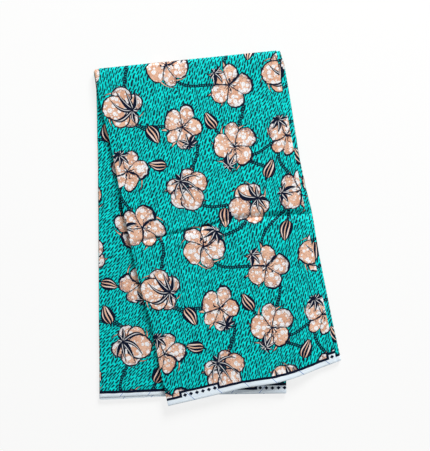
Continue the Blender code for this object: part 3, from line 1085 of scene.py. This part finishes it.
class WAX_OT_outer_ply(bpy.types.Operator):
    """Make the outermost ply, under the bundle, round its fold and over its front half"""

    bl_idname = "wax.outer_ply"
    bl_label = "Outer ply"

    def execute(self, context):
        cloth = context.scene.wax_cloth
        rows = stations(back_step=0.006, front_step=cloth.grid)
        heights = wall_heights(0, cloth.thickness)
        lattice = Lattice(even_columns(cloth.grid), rows, plain_levels(), OUTER_SIDES, heights, cloth)
        cotton = printed_cotton("front_print")
        nodes = ("front_ply", "fold_ply", "under_ply")
        make_ply("outer_ply", cotton, nodes, lattice, Phase(20, 138))
        return {"FINISHED"}


class WAX_OT_stepped_plies(bpy.types.Operator):
    """Make the two folded plies that step out past the outer one at the right"""

    bl_idname = "wax.stepped_plies"
    bl_label = "Stepped plies"

    def execute(self, context):
        cloth = context.scene.wax_cloth
        columns = edge_columns(fine=0.0026, reach=0.026, coarse=0.014)
        rows = stations(back_step=0.012, front_step=0.0045)
        cotton = printed_cotton("side_print")
        steps = (
            ("second_fold", "second_ply", "third_fold", SECOND_SIDES, 1, Phase(165, 40), 2.0, 0.5),
            ("third_fold", "third_ply", "inner_plies", THIRD_SIDES, 2, Phase(250, 190), 3.5, -1.0),
        )
        for name, node, below, sides, depth, phase, back, front in steps:
            levels = plain_levels(back, front)
            lattice = Lattice(columns, rows, levels, sides, wall_heights(depth, WALL), cloth)
            make_ply(name, cotton, (node,), lattice, phase)
        return {"FINISHED"}


class WAX_OT_hidden_plies(bpy.types.Operator):
    """Make the hidden plies, one rounded solid layered at its sides and selvedges"""

    bl_idname = "wax.hidden_plies"
    bl_label = "Hidden plies"

    def execute(self, context):
        cloth = context.scene.wax_cloth
        columns = edge_columns(fine=0.003, reach=0.012, coarse=0.012)
        rows = stations(back_step=0.006, front_step=0.0055)
        heights = hidden_heights(rows)
        lattice = Lattice(columns, rows, hidden_levels(), INNER_SIDES, heights, cloth, wander=0.35)
        cotton = printed_cotton("hidden_print")
        phase = Phase(75, 260, mirrored=True, step=83)
        nodes = ("hidden_plies",)
        make_ply("inner_plies", cotton, nodes, lattice, phase)
        return {"FINISHED"}


class WAX_OT_back_ply(bpy.types.Operator):
    """Make the top ply of the back half, which shows at the left and at the bottom"""

    bl_idname = "wax.back_ply"
    bl_label = "Back ply"

    def execute(self, context):
        cloth = context.scene.wax_cloth
        step = 0.004
        rows = np.linspace(-1, -WALL_GAP / BACK_LEFT, round(BACK_LEFT / step) + 1)
        heights = (WALL_GAP / 2, WALL_GAP / 2 + cloth.thickness)
        lattice = Lattice(even_columns(step), rows, plain_levels(), BACK_SIDES, heights, cloth)
        cotton = printed_cotton("back_print", lean=-52)
        phase = Phase(115, 60, mirrored=True)
        nodes = ("back_ply",)
        make_ply("back_top_ply", cotton, nodes, lattice, phase)
        return {"FINISHED"}


def make_floor():
    bpy.ops.mesh.primitive_plane_add(size=FLOOR_SIZE, location=(0.0, 0.0, -FLOOR_DROP))
    floor = bpy.context.object
    floor.name = "floor"
    material = bpy.data.materials.new("floor")
    material.use_nodes = True
    finish = {
        "Base Color": (0.2, 0.2, 0.2, 1.0),
        "Roughness": 1.0,
        "Specular IOR Level": 0.0,
        "Emission Color": (1.0, 1.0, 0.995, 1.0),
        "Emission Strength": 0.775,
    }
    feed(material.node_tree.nodes["Principled BSDF"], finish)
    floor.data.materials.append(material)


def make_light(stage):
    world = bpy.data.worlds.new("studio")
    world.use_nodes = True
    sky = {"Color": (1.0, 1.0, 1.0, 1.0), "Strength": 1 - stage.key_share}
    feed(world.node_tree.nodes["Background"], sky)
    bpy.context.scene.world = world
    light = bpy.data.lights.new("key", "AREA")
    light.shape = "DISK"
    light.size = stage.key_size
    away = stage.key_distance
    light.energy = stage.key_share * (math.pi * away) ** 2 / math.sin(stage.key_height)
    key = add_object("key", light)
    aim = Euler((stage.key_height - math.pi / 2, 0.0, -stage.key_turn)).to_matrix().to_4x4()
    key.matrix_world = aim @ Matrix.Translation((0.0, 0.0, away))


def make_camera(stage):
    camera = bpy.data.cameras.new("camera")
    camera.sensor_fit = "HORIZONTAL"
    camera.clip_end = SIGHT
    camera.lens = camera.sensor_width * stage.camera_height / stage.frame_width
    eye = add_object("camera", camera)
    eye.location = (*EYE, stage.camera_height)
    bpy.context.scene.camera = eye


class WAX_OT_stage(bpy.types.Operator):
    """Make the floor, the soft light and the camera straight above"""

    bl_idname = "wax.stage"
    bl_label = "Stage"

    def execute(self, context):
        make_floor()
        make_light(context.scene.wax_stage)
        make_camera(context.scene.wax_stage)
        context.scene.view_settings.view_transform = "Standard"
        return {"FINISHED"}


SETTINGS = {"wax_cloth": ClothSettings, "wax_print": PrintSettings, "wax_stage": StageSettings}
OPERATORS = (WAX_OT_stage, WAX_OT_outer_ply, WAX_OT_stepped_plies, WAX_OT_hidden_plies, WAX_OT_back_ply)


class WAX_PT_panel(bpy.types.Panel):
    """The pieces of the folded cloth, in the order that they are made"""

    bl_idname = "WAX_PT_panel"
    bl_label = "Folded wax print"
    bl_space_type = "VIEW_3D"
    bl_region_type = "UI"
    bl_category = "Wax print"

    def draw(self, context):
        for group, kind in SETTINGS.items():
            box = self.layout.box()
            for name in kind.__annotations__:
                box.prop(getattr(context.scene, group), name)
        for operator in OPERATORS:
            self.layout.operator(operator.bl_idname)


def register():
    for kind in (*SETTINGS.values(), *OPERATORS, WAX_PT_panel):
        bpy.utils.register_class(kind)
    for name, kind in SETTINGS.items():
        setattr(bpy.types.Scene, name, bpy.props.PointerProperty(type=kind))


def unregister():
    for name in SETTINGS:
        delattr(bpy.types.Scene, name)
    for kind in (WAX_PT_panel, *OPERATORS, *SETTINGS.values()):
        bpy.utils.unregister_class(kind)


def main():
    register()
    bpy.ops.wax.stage()
    bpy.ops.wax.outer_ply()
    bpy.ops.wax.stepped_plies()
    bpy.ops.wax.hidden_plies()
    bpy.ops.wax.back_ply()


if __name__ == "__main__":
    main()
